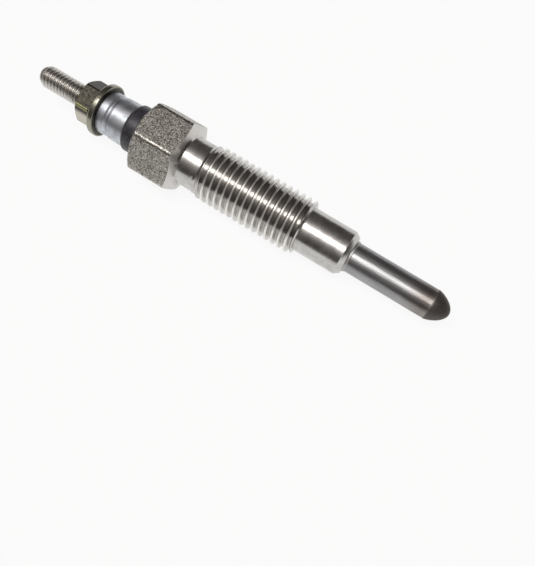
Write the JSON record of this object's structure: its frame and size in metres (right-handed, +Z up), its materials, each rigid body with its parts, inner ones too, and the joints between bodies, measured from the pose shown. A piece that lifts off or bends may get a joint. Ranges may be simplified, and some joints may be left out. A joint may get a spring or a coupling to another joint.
{
  "type": "diesel glow plug",
  "caption": "Screw-in diesel glow plug: hexagon body with engine thread and smooth nose, a domed heater tube at one end and a threaded terminal with a flanged nut at the other.",
  "frame": {"origin": "on the plug's axis, where the sealing taper begins at the end of the smooth nose", "axes": "+X along the axis towards the heated tip, +Z up with a flat of the hexagon above and below, as the plug lies"},
  "size_m": [0.081, 0.0136, 0.012],
  "materials": {
    "nickel_plate": "bright nickel plate, grainy on the hexagon",
    "heater_alloy": "satin drawn tube, darkened at the tip",
    "coil_wire": "drawn wire",
    "magnesia": "packed powder",
    "seal_rubber": "moulded",
    "stud_steel": "rolled thread, plated",
    "phenolic": "moulded, matt",
    "clear_zinc": "bluish zinc plate",
    "olive_zinc": "olive passivated zinc plate"
  },
  "bodies": {
    "root": {"housing": "nickel_plate", "heater_tube": "heater_alloy", "heating_coil": "coil_wire", "control_coil": "coil_wire", "magnesia_fill": "magnesia", "tube_seal": "seal_rubber", "centre_rod": "stud_steel", "o_ring": "seal_rubber", "insulator": "phenolic", "spacer_bush": "clear_zinc", "terminal_nut": "olive_zinc"}
  },
  "joints": []
}
